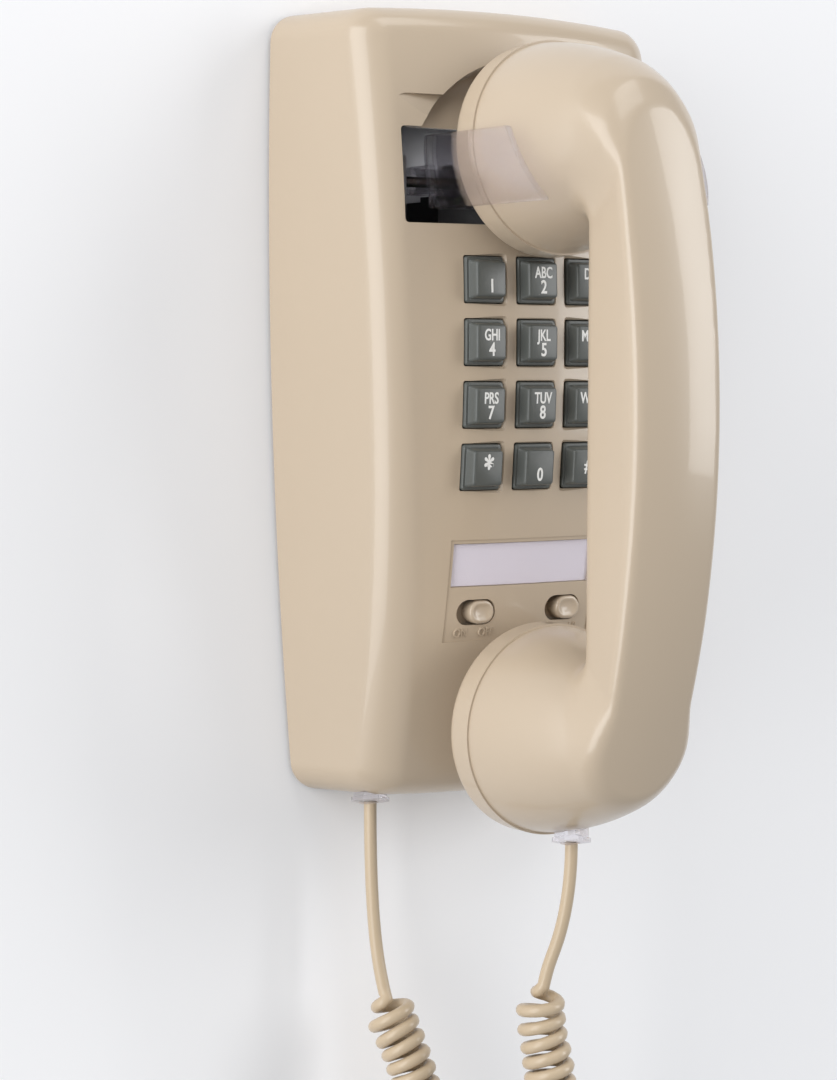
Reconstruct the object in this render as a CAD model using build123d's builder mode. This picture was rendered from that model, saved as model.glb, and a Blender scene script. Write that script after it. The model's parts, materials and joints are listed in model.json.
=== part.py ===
"""Corded wall telephone: bowed housing, keypad, clear hook, handset and curly cord.

Millimetres. The wall plane is Y = 0 and the telephone stands out towards -Y, with +Z up and
+X to the right of someone facing it. The origin is the middle of the rear face.
"""

import os
from math import atan2, cos, degrees, hypot, pi, radians, sin, tan

from build123d import *

os.makedirs("parts", exist_ok=True)

# ---- Housing ----
body_height = 229.0
body_width = 125.4  # widest, at the wall
body_depth = 47.5  # wall to the crown of the face
wall = 2.5
widest_z = 62.0  # height where the sides are widest
rear_bow = 1912.0  # radius of the sides at the wall
outline_reach = 51.5  # wall to the plane where the front outline is set
face_width = 96.2  # widest of the front outline
face_bow = 760.0  # radius of the front outline's sides
end_bow = 1.6  # how far the top and bottom edges bow outwards
corner_radius = 8.0
crown_across = 248.0
crown_along = 480.0
crown_z = 20.5  # height of the face's foremost point
face_edge_radius = 5.0

# ---- Scoop above the hook: the face leans back in it, up to a ledge ----
scoop_foot_z = 74.5
scoop_ledge_z = 90.0
scoop_width = 92.0
scoop_lean = 21.0

# ---- Receiver dish in the face ----
dish_radius = 43.0
dish_z = 58.0
dish_foot_z = 52.0
dish_lean = 18.0

# ---- Hook opening ----
opening_width = 86.0
opening_low = 53.0
opening_high = 80.6

# ---- Base plate ----
plate_thickness = 1.6
plate_gap = 0.9
stud_spacing = 101.6  # the two studs of a telephone wall plate
stud_z = 20.0  # middle of the stud pair
keyhole_entry = 11.0
keyhole_slot = 6.4
keyhole_rise = 9.0

# ---- Fasteners and clearances ----
screw_radius = 1.5
screw_head_radius = 3.0
screw_head_height = 1.8
hole_gap = 0.2
slide_gap = 0.3

# ---- Keypad ----
key_pitch = 18.1
keypad_z = 10.0
key_hole = 13.9
key_skirt = 13.3
key_lip = 15.2
key_lip_thickness = 1.2
lip_gap = 1.0  # cover to lip, which allows for the curve of the face
key_cap = 11.0
key_cap_height = 3.4
key_travel = 2.5
stem_radius = 2.2
guide_thickness = 1.6
board_thickness = 1.6
mat_thickness = 0.8
dome_radius = 3.5
post_x = 34.0
post_z_high = 46.0
post_z_low = -27.0
post_radius = 2.5
post_foot_radius = 4.0

# ---- Label and slide switches ----
panel_width = 53.0
panel_top = -38.4
panel_bottom = -68.6
panel_sink = 0.4
label_width = 50.6
label_height = 12.8
label_z = -45.9
window_thickness = 1.0
card_thickness = 0.4
switch_x = 15.8
switch_z = -60.0
slot_length = 13.4
slot_height = 7.6
knob_length = 8.8
slider_plate_length = 20.0
slider_plate_height = 9.6
slider_plate_thickness = 1.2
slider_drop = 2.0  # allows for the curve of the face behind the plate
switch_case_height = 8.0
switch_case_depth = 7.0

# ---- Hook ----
hook_z = 74.5  # height of the cradle's axis
pivot_y = -24.0
pivot_z = 66.0
pin_radius = 1.5
pin_fit = 0.05
barrel_radius = 4.0
prong_thickness = 2.4
prong_reach = 90.0  # wall to the prong tips
prong_low_angle = -30.0
prong_high_angle = 7.0
web_thickness = 2.5
ear_thickness = 1.5

# ---- Ringer ----
gong_radius = 18.0
gong_height = 9.0
gong_thickness = 1.2
gong_x = 23.5
gong_z = -80.0
gong_y = -12.0
clapper_z = -54.0
clapper_y = -16.0
clapper_rod = 1.0
clapper_ball = 2.4
coil_radius = 7.0
coil_length = 18.0
coil_y = -16.0

# ---- Handset ----
cap_radius = 31.0
cap_skirt = 10.0
cap_dome = 3.5
cup_radius = 30.4
shell_wall = 2.6
cup_depth = 42.0
cup_end_radius = 15.5
cup_swell = 25.2  # radius of the cup at half its depth
receiver_y = -58.5
receiver_z = 75.0
receiver_lean = 4.0
transmitter_y = -57.0
transmitter_z = -93.8
transmitter_lean = 0.0
handle_width = 31.0
handle_front = 115.0  # wall to the handle's outer face at its middle
handle_inner = 87.5  # wall to the handle's inner face
handle_bow = 296.0
handle_mid_z = -3.0
handle_edge_radius = 6.0
receiver_capsule_radius = 22.0
receiver_capsule_depth = 13.0
transmitter_capsule_radius = 16.0
transmitter_capsule_depth = 5.0
cradle_gap = 0.6

# ---- Cord ----
cord_diameter = 3.8
curl_diameter = 15.2
base_exit = (-36.6, -15.0)
base_exit_z = -117.6
handset_exit = (0.0, -66.0)
handset_exit_z = -125.8
plug_width = 9.6
plug_depth = 7.6
plug_height = 13.0
plug_flange = 1.2
jack_wall = 1.3
jack_start = 8.2  # cord's end of the plug to the jack's mouth

half_height = body_height / 2


def face_y(x, z):
    """Depth of the crowned face at a place on it."""
    return -body_depth + x * x / (2 * crown_across) + (z - crown_z) ** 2 / (2 * crown_along)


def face_plane(x, z, sink=0.0):
    """Plane on the face, leaning with it, whose normal points out of the housing."""
    lean = (z - crown_z) / crown_along
    normal = Vector(0, -cos(lean), sin(lean))
    return Plane(origin=Vector(x, face_y(x, z), z) - normal * sink, x_dir=(1, 0, 0), z_dir=normal)


def outline(widest, bow, inset):
    """Bowed four-sided outline, drawn in the plane of the wall."""
    def half_width(z):
        return widest / 2 - (z - widest_z) ** 2 / (2 * bow) - inset

    low = -half_height + inset
    high = half_height - inset
    with BuildSketch(Plane.XZ) as shape:
        with BuildLine():
            ThreePointArc((half_width(low), low), (half_width(0), 0), (half_width(high), high))
            ThreePointArc((half_width(high), high), (0, high + end_bow), (-half_width(high), high))
            ThreePointArc((-half_width(high), high), (-half_width(0), 0), (-half_width(low), low))
            ThreePointArc((-half_width(low), low), (0, low - end_bow), (half_width(low), low))
        make_face()
        fillet(shape.vertices(), corner_radius - inset)
    return shape.sketch


def crown_solid(inset):
    """Everything behind the crowned face, moved back by the inset."""
    front = -body_depth + inset
    reach = body_width / 2 + 10
    side = front + reach * reach / (2 * crown_across)
    sweep = 2 * degrees(atan2(body_height / 2 + 30, crown_along))
    with BuildPart() as crown:
        with BuildSketch(Plane.XY.offset(crown_z)):
            with BuildLine():
                ThreePointArc((-reach, side), (0, front), (reach, side))
                Line((reach, side), (reach, 10))
                Line((reach, 10), (-reach, 10))
                Line((-reach, 10), (-reach, side))
            make_face()
        axis = Axis((0, front + crown_along, crown_z), (1, 0, 0))
        revolve(axis=axis, revolution_arc=sweep)
    return crown.part.rotate(axis, -sweep / 2)


def housing_blank(inset, edge_radius):
    """The housing as one solid, every surface moved inwards by the inset."""
    front = outline(face_width, face_bow, inset).moved(Location((0, -outline_reach, 0)))
    rear = outline(body_width, rear_bow, inset)
    crown = crown_solid(inset)
    scoop_y = face_y(0, scoop_foot_z) + inset
    scoop_z = scoop_ledge_z + inset
    scoop_back = scoop_y + (scoop_z - scoop_foot_z) * tan(radians(scoop_lean))
    scoop_front = -body_depth - 10
    scoop_low = scoop_foot_z - (scoop_y - scoop_front) / tan(radians(scoop_lean))
    dish_foot = Vector(0, face_y(0, dish_foot_z) + inset, dish_foot_z)
    dish_out = Vector(0, -cos(radians(dish_lean)), sin(radians(dish_lean)))
    with BuildPart() as blank:
        add(rear)
        add(front)
        loft(ruled=True)
        add(crown, mode=Mode.INTERSECT)
        if edge_radius > 0:
            face = blank.faces().filter_by(lambda side: side.normal_at().Y < -0.8)
            fillet(face.edges(), edge_radius)
        with BuildSketch(Plane.YZ):
            with BuildLine():
                Polyline(
                    (scoop_back, scoop_z),
                    (scoop_front, scoop_z),
                    (scoop_front, scoop_low),
                    (scoop_back, scoop_z),
                )
            make_face()
        extrude(amount=scoop_width / 2 + inset, both=True, mode=Mode.SUBTRACT)
        with BuildSketch(Plane(origin=dish_foot, x_dir=(1, 0, 0), z_dir=dish_out)):
            with Locations((0, dish_z - dish_foot_z)):
                Circle(dish_radius + inset)
        extrude(amount=body_depth, mode=Mode.SUBTRACT)
    return blank.part


def between_crowns(prism, near, far):
    """The slice of a prism between two depths under the crowned face."""
    return (prism & crown_solid(near)) - crown_solid(far)


def face_prism(width, height, z):
    """Block through the face, square to the wall."""
    return Pos(0, -body_depth / 2 - 15, z) * Box(width, body_depth, height)


# Spots shared by several pieces.
cover_bosses = [(45.0, 98.0), (-45.0, 98.0), (46.0, -92.0), (-46.0, -92.0)]
post_spots = [(x, z) for x in (-post_x, post_x) for z in (post_z_low, post_z_high)]
key_columns = [-key_pitch, 0.0, key_pitch]
key_rows = [keypad_z + key_pitch * step for step in (1.5, 0.5, -0.5, -1.5)]
key_names = [
    ["key_1", "key_2", "key_3"],
    ["key_4", "key_5", "key_6"],
    ["key_7", "key_8", "key_9"],
    ["key_star", "key_0", "key_hash"],
]
boss_radius = 4.0
guide_front = -37.2  # behind the pressed keys' lips
guide_back = guide_front + guide_thickness
stem_tip = guide_back + 0.4
board_front = -31.2
board_back = board_front + board_thickness
main_board_front = -14.0
main_board_back = main_board_front + board_thickness
plate_front = -plate_thickness

outer_body = housing_blank(0, face_edge_radius)
inner_body = housing_blank(wall, 0)
middle_body = housing_blank(wall / 2, 0)

# ---- Front cover ----
boss_blank = Part()
for x, z in cover_bosses:
    boss = Pos(x, plate_front - body_depth / 2, z) * Rot(90, 0, 0) * Cylinder(boss_radius, body_depth)
    boss_blank += boss & middle_body
label_pocket = face_prism(label_width, label_height, label_z) - crown_solid(
    panel_sink + window_thickness + card_thickness
)
panel_height = panel_top - panel_bottom
panel_z = (panel_top + panel_bottom) / 2
panel_recess = face_prism(panel_width, panel_height, panel_z) - crown_solid(panel_sink)

with BuildPart() as front_cover:
    add(outer_body)
    add(inner_body, mode=Mode.SUBTRACT)
    add(boss_blank)
    add(panel_recess, mode=Mode.SUBTRACT)
    add(label_pocket, mode=Mode.SUBTRACT)
    for x, z in cover_bosses:
        with BuildSketch(Plane.XZ.offset(plate_thickness)):
            with Locations((x, z)):
                Circle(screw_radius + hole_gap / 4)
        extrude(amount=14, mode=Mode.SUBTRACT)
    for z in key_rows:
        for x in key_columns:
            with BuildSketch(face_plane(x, z, 8)):
                Rectangle(key_hole, key_hole)
            extrude(amount=12, mode=Mode.SUBTRACT)
    for x in (-switch_x, switch_x):
        with BuildSketch(Plane.XZ.offset(body_depth)):
            with Locations((x, switch_z)):
                SlotOverall(slot_length, slot_height)
        extrude(amount=-16, mode=Mode.SUBTRACT)
    opening_z = (opening_low + opening_high) / 2
    with BuildSketch(Plane.XZ.offset(body_depth + 2)):
        with Locations((0, opening_z)):
            Rectangle(opening_width, opening_high - opening_low)
    extrude(amount=-20, mode=Mode.SUBTRACT)
    with BuildSketch(Plane.XY.offset(-half_height - 4)):
        with Locations(base_exit):
            Rectangle(plug_width - 2 + 2 * slide_gap, plug_depth - 1 + 2 * slide_gap)
    extrude(amount=10, mode=Mode.SUBTRACT)
front_cover.part.label = "front_cover"
export_step(front_cover.part, "parts/front_cover.step")

# ---- Base plate, with keyholes for the wall studs ----
with BuildPart() as base_plate:
    extrude(to_extrude=outline(body_width, rear_bow, wall + plate_gap), amount=plate_thickness)
    for side in (-1, 1):
        keyhole_z = stud_z + side * stud_spacing / 2
        with BuildSketch(Plane.XZ):
            with Locations((0, keyhole_z - keyhole_rise)):
                Circle(keyhole_entry / 2)
            with Locations((0, keyhole_z - keyhole_rise / 2)):
                Rectangle(keyhole_slot, keyhole_rise)
            with Locations((0, keyhole_z)):
                Circle(keyhole_slot / 2)
        extrude(amount=plate_thickness, mode=Mode.SUBTRACT)
    for x, z in cover_bosses:
        with Locations(Plane(origin=(x, 0, z), z_dir=(0, 1, 0))):
            CounterSinkHole(screw_radius + hole_gap, screw_head_radius + hole_gap, plate_thickness + 1, 90)
    with BuildSketch(Plane.XZ):
        with Locations((0, stud_z)):
            Rectangle(13, 13)
    extrude(amount=plate_thickness, mode=Mode.SUBTRACT)
base_plate.part.label = "base_plate"
export_step(base_plate.part, "parts/base_plate.step")

with BuildPart() as cover_screws:
    for x, z in cover_bosses:
        with BuildSketch(Plane.XZ):
            with Locations((x, z)):
                Circle(screw_head_radius)
        with BuildSketch(Plane.XZ.offset(screw_head_radius - screw_radius)):
            with Locations((x, z)):
                Circle(screw_radius)
        loft()
        with BuildSketch(Plane.XZ):
            with Locations((x, z)):
                Circle(screw_radius)
        extrude(amount=12)
cover_screws.part.label = "cover_screws"
export_step(cover_screws.part, "parts/cover_screws.step")

# ---- Line plug that meets the wall plate's jack ----
with BuildPart() as line_plug:
    with Locations((0, plate_front - 4, stud_z)):
        Box(17, 8, 17)
    with Locations((0, plate_front / 2 - 1, stud_z)):
        Box(12.6, -plate_front + 2, 12.6)
line_plug.part.label = "line_plug"
export_step(line_plug.part, "parts/line_plug.step")

# ---- Keypad ----
for row, z in enumerate(key_rows):
    for column, x in enumerate(key_columns):
        skirt_back = wall + lip_gap
        stem_plane = face_plane(x, z, skirt_back + key_lip_thickness)
        stem_drop = (stem_tip - stem_plane.origin.Y) / cos((z - crown_z) / crown_along)
        with BuildPart() as key:
            with BuildSketch(face_plane(x, z, skirt_back)):
                RectangleRounded(key_skirt, key_skirt, 0.8)
            extrude(amount=skirt_back + 0.4)
            with BuildSketch(face_plane(x, z, -0.4)):
                RectangleRounded(key_cap + 0.8, key_cap + 0.8, 0.8)
            extrude(amount=key_cap_height - 0.4, taper=8)
            with BuildSketch(stem_plane):
                RectangleRounded(key_lip, key_lip, 0.8)
            extrude(amount=key_lip_thickness)
            with BuildSketch(stem_plane):
                Circle(stem_radius)
            extrude(amount=-stem_drop)
        key.part.label = key_names[row][column]
        export_step(key.part, f"parts/{key_names[row][column]}.step")

with BuildPart() as keypad_frame:
    with BuildSketch(Plane.XZ.offset(-guide_back)):
        with Locations((0, (post_z_high + post_z_low) / 2)):
            Rectangle(2 * post_x + 10, post_z_high - post_z_low + 10)
        for z in key_rows:
            with Locations(*[(x, z - (z - crown_z) / crown_along * 7) for x in key_columns]):
                Circle(stem_radius + 3 * slide_gap, mode=Mode.SUBTRACT)
    extrude(amount=guide_thickness)
    with BuildSketch(Plane.XZ.offset(-board_front)):
        with Locations(*post_spots):
            Circle(post_foot_radius)
    extrude(amount=board_front - guide_back)
    with BuildSketch(Plane.XZ.offset(-board_front)):
        with Locations(*post_spots):
            Circle(screw_radius + hole_gap)
    extrude(amount=board_front - guide_front, mode=Mode.SUBTRACT)
keypad_frame.part.label = "keypad_frame"
export_step(keypad_frame.part, "parts/keypad_frame.step")

with BuildPart() as keypad_board:
    with BuildSketch(Plane.XZ.offset(-board_back)):
        with Locations((0, (post_z_high + post_z_low) / 2)):
            Rectangle(2 * post_x + 10, post_z_high - post_z_low + 10)
        with Locations(*post_spots):
            Circle(screw_radius + hole_gap, mode=Mode.SUBTRACT)
    extrude(amount=board_thickness)
keypad_board.part.label = "keypad_board"
export_step(keypad_board.part, "parts/keypad_board.step")

dome_front = stem_tip + key_travel + slide_gap
with BuildPart() as dome_mat:
    with BuildSketch(Plane.XZ.offset(-board_front)):
        with Locations((0, keypad_z)):
            Rectangle(2 * key_pitch + 2 * key_lip / 2, 3 * key_pitch + key_lip)
    extrude(amount=mat_thickness)
    with BuildSketch(Plane.XZ.offset(-board_front)):
        for z in key_rows:
            with Locations(*[(x, z) for x in key_columns]):
                Circle(dome_radius)
    extrude(amount=board_front - dome_front)
dome_mat.part.label = "dome_mat"
export_step(dome_mat.part, "parts/dome_mat.step")

# ---- Posts, boards and their screws ----
with BuildPart() as board_posts:
    with BuildSketch(Plane.XZ.offset(-plate_front)):
        with Locations(*post_spots):
            Circle(post_foot_radius)
    extrude(amount=plate_front - main_board_back)
    with BuildSketch(Plane.XZ.offset(-plate_front)):
        with Locations(*post_spots):
            Circle(post_radius)
    extrude(amount=plate_front - board_back)
    with BuildSketch(Plane.XZ.offset(-board_back)):
        with Locations(*post_spots):
            Circle(screw_radius + hole_gap / 4)
    extrude(amount=-8, mode=Mode.SUBTRACT)
board_posts.part.label = "board_posts"
export_step(board_posts.part, "parts/board_posts.step")

with BuildPart() as board_screws:
    with BuildSketch(Plane.XZ.offset(-guide_front)):
        with Locations(*post_spots):
            Circle(screw_head_radius)
    extrude(amount=screw_head_height)
    with BuildSketch(Plane.XZ.offset(-guide_front)):
        with Locations(*post_spots):
            Circle(screw_radius)
    extrude(amount=-(board_back - guide_front) - 6)
board_screws.part.label = "board_screws"
export_step(board_screws.part, "parts/board_screws.step")

with BuildPart() as main_board:
    with BuildSketch(Plane.XZ.offset(-main_board_back)):
        with Locations((0, (post_z_high + post_z_low) / 2)):
            Rectangle(2 * post_x + 10, post_z_high - post_z_low + 10)
        with Locations(*post_spots):
            Circle(post_radius + hole_gap / 2, mode=Mode.SUBTRACT)
    extrude(amount=board_thickness)
main_board.part.label = "main_board"
export_step(main_board.part, "parts/main_board.step")

with BuildPart() as line_transformer:
    with Locations((-14, main_board_front - 6, 30)):
        Box(20, 12, 16)
    with Locations((-14, main_board_front - 6, 30)):
        Box(13, 12, 22)
line_transformer.part.label = "line_transformer"
export_step(line_transformer.part, "parts/line_transformer.step")

with BuildPart() as capacitors:
    for x, z, radius in ((14, 34, 5.0), (14, 18, 4.0), (-18, 2, 4.0)):
        with BuildSketch(Plane.XZ.offset(-main_board_front)):
            with Locations((x, z)):
                Circle(radius)
        extrude(amount=11)
capacitors.part.label = "capacitors"
export_step(capacitors.part, "parts/capacitors.step")

# ---- Label ----
label_prism = face_prism(label_width - 2 * hole_gap, label_height - 2 * hole_gap, label_z)
card_sink = panel_sink + window_thickness
label_card = between_crowns(label_prism, card_sink, card_sink + card_thickness)
label_card.label = "label_card"
export_step(label_card, "parts/label_card.step")
label_window = between_crowns(label_prism, panel_sink, card_sink)
label_window.label = "label_window"
export_step(label_window, "parts/label_window.step")

# ---- Slide switches: each has a case behind the face and a slider with a knob ----
slide_travel = slot_length - knob_length - 2 * slide_gap
slider_front = face_y(switch_x, switch_z) + wall + slide_gap + slider_drop
for name, x in (("ringer", -switch_x), ("volume", switch_x)):
    knob_x = x + slide_travel / 2
    with BuildPart() as slider:
        with BuildSketch(Plane.XZ.offset(-slider_front)):
            with Locations((knob_x, switch_z)):
                SlotOverall(knob_length, slot_height - 2 * slide_gap)
        extrude(amount=slider_front - face_y(x, switch_z) - panel_sink + 0.5)
        with BuildSketch(Plane.XZ.offset(-slider_front)):
            with Locations((knob_x, switch_z)):
                Rectangle(slider_plate_length, slider_plate_height)
        extrude(amount=-slider_plate_thickness)
        with Locations((knob_x, slider_front + slider_plate_thickness + 1.5, switch_z)):
            Box(3, 3, 3)
    slider.part.label = f"{name}_slider"
    export_step(slider.part, f"parts/{name}_slider.step")

    case_front = slider_front + slider_plate_thickness + slide_gap
    with BuildPart() as case:
        with Locations((x, case_front + switch_case_depth / 2, switch_z)):
            Box(18, switch_case_depth, switch_case_height)
        with Locations((x, case_front + 2, switch_z)):
            Box(3 + slide_travel + 2 * slide_gap, 4, 3 + 2 * slide_gap, mode=Mode.SUBTRACT)
        with Locations((x, case_front + switch_case_depth + 0.8, switch_z)):
            Box(24, 1.6, 11)
    case.part.label = f"{name}_switch"
    export_step(case.part, f"parts/{name}_switch.step")

# ---- Hook: a clear fork on a pin behind the opening ----
prong_inner = cap_radius + cradle_gap
prong_outer = prong_inner + prong_thickness
web_front = -40.5
web_back = web_front + web_thickness
tip_cut = 12.0  # how much further the prongs' lower corners reach than the upper ones
prong_high = prong_inner * sin(radians(prong_high_angle))
prong_low = prong_outer * sin(radians(prong_low_angle))
arm_low = pivot_z - barrel_radius
arm_high = pivot_z + barrel_radius

with BuildPart() as hook:
    with BuildSketch(Plane.XZ.offset(-web_back)):
        with Locations((0, hook_z)):
            Circle(prong_outer)
            Circle(prong_inner, mode=Mode.SUBTRACT)
        with Locations((0, hook_z + (prong_high + prong_low) / 2)):
            Rectangle(4 * prong_outer, prong_high - prong_low, mode=Mode.INTERSECT)
    extrude(amount=prong_reach + web_back)
    with BuildSketch(Plane.YZ):
        with BuildLine():
            Polyline(
                (-prong_reach - 1, hook_z + prong_low - 1),
                (-prong_reach, hook_z + prong_low),
                (-prong_reach + tip_cut, hook_z + prong_high),
                (-prong_reach + tip_cut, hook_z + prong_high + 1),
                (-prong_reach - 1, hook_z + prong_high + 1),
                (-prong_reach - 1, hook_z + prong_low - 1),
            )
        make_face()
    extrude(amount=2 * prong_outer, both=True, mode=Mode.SUBTRACT)
    with BuildSketch(Plane.XZ.offset(-web_back)):
        with Locations((0, hook_z + (prong_high + prong_low) / 2)):
            Rectangle(2 * prong_inner + 1, prong_high - prong_low)
    extrude(amount=web_thickness)
    for side in (-1, 1):
        with Locations((side * (prong_inner - 1), (web_back + pivot_y) / 2, pivot_z)):
            Box(prong_thickness, pivot_y - web_back, arm_high - arm_low)
    with BuildSketch(Plane.YZ):
        with Locations((pivot_y, pivot_z)):
            Circle(barrel_radius)
    extrude(amount=prong_inner + 0.5, both=True)
    with Locations((0, pivot_y + 5, pivot_z)):
        Box(8, 8, 2.4)
    with BuildSketch(Plane.YZ):
        with Locations((pivot_y, pivot_z)):
            Circle(pin_radius + pin_fit)
    extrude(amount=2 * prong_outer, both=True, mode=Mode.SUBTRACT)
hook.part.label = "hook"
export_step(hook.part, "parts/hook.step")

ear_inner = prong_inner + 2.0
bracket_low = post_z_high + 6.4
bracket_high = pivot_z + 24
ledge_z = bracket_low + ear_thickness / 2
upper_stud_z = stud_z + stud_spacing / 2
with BuildPart() as hook_bracket:
    with BuildSketch(Plane.XZ.offset(plate_thickness)):
        with Locations((0, (bracket_low + bracket_high) / 2)):
            Rectangle(2 * (ear_inner + ear_thickness), bracket_high - bracket_low)
        with Locations((0, upper_stud_z - 10)):
            Rectangle(20, 44, mode=Mode.SUBTRACT)
    extrude(amount=ear_thickness)
    for side in (-1, 1):
        ear_depth = -pivot_y + 5 - plate_thickness
        with Locations((side * (ear_inner + ear_thickness / 2), -plate_thickness - ear_depth / 2, pivot_z)):
            Box(ear_thickness, ear_depth, 14)
    ledge_depth = -web_back - plate_thickness - 1
    with Locations((ear_inner - 9, -plate_thickness - ledge_depth / 2, ledge_z)):
        Box(10, ledge_depth, ear_thickness)
    with BuildSketch(Plane.YZ):
        with Locations((pivot_y, pivot_z)):
            Circle(pin_radius + 0.02)
    extrude(amount=2 * prong_outer, both=True, mode=Mode.SUBTRACT)
hook_bracket.part.label = "hook_bracket"
export_step(hook_bracket.part, "parts/hook_bracket.step")

with BuildPart() as hook_pin:
    with BuildSketch(Plane.YZ):
        with Locations((pivot_y, pivot_z)):
            Circle(pin_radius)
    extrude(amount=ear_inner + ear_thickness + 0.8, both=True)
hook_pin.part.label = "hook_pin"
export_step(hook_pin.part, "parts/hook_pin.step")

spring_y = web_back + 4.5
spring_low = ledge_z + ear_thickness / 2
with BuildPart() as hook_spring:
    with BuildSketch(Plane.XY.offset(spring_low)):
        with Locations((prong_inner - 1, spring_y)):
            Circle(2.6)
            Circle(1.9, mode=Mode.SUBTRACT)
    extrude(amount=arm_low - spring_low)
hook_spring.part.label = "hook_spring"
export_step(hook_spring.part, "parts/hook_spring.step")

with BuildPart() as hook_switch:
    with Locations((0, pivot_y + barrel_radius + 5, pivot_z - 8.8)):
        Box(32, 9.4, 11)
    with Locations((0, pivot_y + 7, pivot_z - 2.9)):
        Box(4, 2, 0.8)
    for side in (-1, 1):
        leg_length = -pivot_y - barrel_radius - 5 - plate_thickness - ear_thickness
        with Locations((side * 13.5, -plate_thickness - ear_thickness - leg_length / 2, pivot_z - 8.8)):
            Box(5, leg_length, 8)
hook_switch.part.label = "hook_switch"
export_step(hook_switch.part, "parts/hook_switch.step")

# ---- Ringer: two gongs, a clapper between them and its coil ----
bracket_front = plate_front - ear_thickness
gong_front = gong_y - gong_height
coil_z = clapper_z + 3.6 + coil_radius
ringer_high = coil_z - coil_radius + 4
ringer_low = gong_z - 8
post_end = gong_front + gong_thickness
with BuildPart() as ringer_bracket:
    with BuildSketch(Plane.XZ.offset(plate_thickness)):
        with Locations((0, (ringer_high + ringer_low) / 2)):
            Rectangle(2 * gong_x + 12, ringer_high - ringer_low)
    extrude(amount=ear_thickness)
    for side in (-1, 1):
        leg_length = bracket_front - coil_y - coil_radius
        with Locations((side * coil_length / 2, bracket_front - leg_length / 2, ringer_high - 2)):
            Box(1.6, leg_length, 4)
    with BuildSketch(Plane.XZ.offset(-bracket_front)):
        with Locations((-gong_x, gong_z), (gong_x, gong_z)):
            Circle(post_radius)
    extrude(amount=bracket_front - post_end)
    with BuildSketch(Plane.XZ.offset(-bracket_front)):
        with Locations((0, clapper_z)):
            Circle(pin_radius)
    extrude(amount=bracket_front - clapper_y + 3)
    with BuildSketch(Plane.XZ.offset(-post_end)):
        with Locations((-gong_x, gong_z), (gong_x, gong_z)):
            Circle(screw_radius + hole_gap / 4)
    extrude(amount=-7, mode=Mode.SUBTRACT)
ringer_bracket.part.label = "ringer_bracket"
export_step(ringer_bracket.part, "parts/ringer_bracket.step")

rim_outer = gong_z + gong_radius
rim_inner = rim_outer - gong_thickness
hole_edge = gong_z + screw_radius + hole_gap
for name, side in (("gong_left", -1), ("gong_right", 1)):
    with BuildPart() as gong:
        with BuildSketch(Plane.YZ.offset(side * gong_x)):
            with BuildLine():
                Line((gong_y, rim_inner), (gong_y, rim_outer))
                Line((gong_y, rim_outer), (gong_y - 4, rim_outer))
                ThreePointArc(
                    (gong_y - 4, rim_outer),
                    (gong_front + 1.5, rim_outer - 1.5),
                    (gong_front, rim_outer - 6),
                )
                Line((gong_front, rim_outer - 6), (gong_front, hole_edge))
                Line((gong_front, hole_edge), (post_end, hole_edge))
                Line((post_end, hole_edge), (post_end, rim_outer - 6))
                ThreePointArc(
                    (post_end, rim_outer - 6),
                    (post_end + 1.5, rim_inner - 1.5),
                    (gong_y - 4, rim_inner),
                )
                Line((gong_y - 4, rim_inner), (gong_y, rim_inner))
            make_face()
        revolve(axis=Axis((side * gong_x, 0, gong_z), (0, 1, 0)))
    gong.part.label = name
    export_step(gong.part, f"parts/{name}.step")

with BuildPart() as gong_screws:
    with BuildSketch(Plane.XZ.offset(-gong_front)):
        with Locations((-gong_x, gong_z), (gong_x, gong_z)):
            Circle(screw_head_radius)
    extrude(amount=screw_head_height)
    with BuildSketch(Plane.XZ.offset(-gong_front)):
        with Locations((-gong_x, gong_z), (gong_x, gong_z)):
            Circle(screw_radius)
    extrude(amount=-6)
gong_screws.part.label = "gong_screws"
export_step(gong_screws.part, "parts/gong_screws.step")

with BuildPart() as clapper:
    with BuildSketch(Plane.XZ.offset(-clapper_y - 1.5)):
        with Locations((0, clapper_z)):
            Circle(3.0)
            Rectangle(24, 3)
            Circle(pin_radius + pin_fit, mode=Mode.SUBTRACT)
    extrude(amount=3)
    with BuildSketch(Plane.XY.offset(clapper_z - 2.6)):
        with Locations((0, clapper_y)):
            Circle(clapper_rod)
    extrude(amount=gong_z - clapper_z + 2.6)
    with Locations((0, clapper_y, gong_z)):
        Sphere(clapper_ball)
clapper.part.label = "clapper"
export_step(clapper.part, "parts/clapper.step")

with BuildPart() as ringer_coil:
    with BuildSketch(Plane.YZ.offset(-coil_length / 2)):
        with Locations((coil_y, coil_z)):
            Circle(coil_radius - 1.2)
    extrude(amount=coil_length)
    for side in (-1, 1):
        with Locations((side * coil_length / 2, coil_y, coil_z)):
            Box(1.6, 2 * coil_radius, 2 * coil_radius)
ringer_coil.part.label = "ringer_coil"
export_step(ringer_coil.part, "parts/ringer_coil.step")

# ---- Handset ----
def cup_plane(y, z, lean):
    """Plane whose local x runs from a cup's mouth into the handle and whose local y is a radius."""
    inward = (0, -cos(radians(lean)), sin(radians(lean)))
    return Plane(origin=(0, y, z), x_dir=inward, z_dir=(1, 0, 0))


def cup_axis(plane):
    return Axis(plane.origin, plane.x_dir)


def cup_solid(plane, inset):
    """The round cup at one end of the handset."""
    with BuildPart() as cup:
        with BuildSketch(plane):
            with BuildLine():
                Line((0, 0), (0, cup_radius - inset))
                ThreePointArc(
                    (0, cup_radius - inset),
                    (cup_depth / 2, cup_swell - inset),
                    (cup_depth - inset, cup_end_radius - inset),
                )
                Line((cup_depth - inset, cup_end_radius - inset), (cup_depth - inset, 0))
                Line((cup_depth - inset, 0), (0, 0))
            make_face()
        revolve(axis=cup_axis(plane))
    return cup.part


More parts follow.
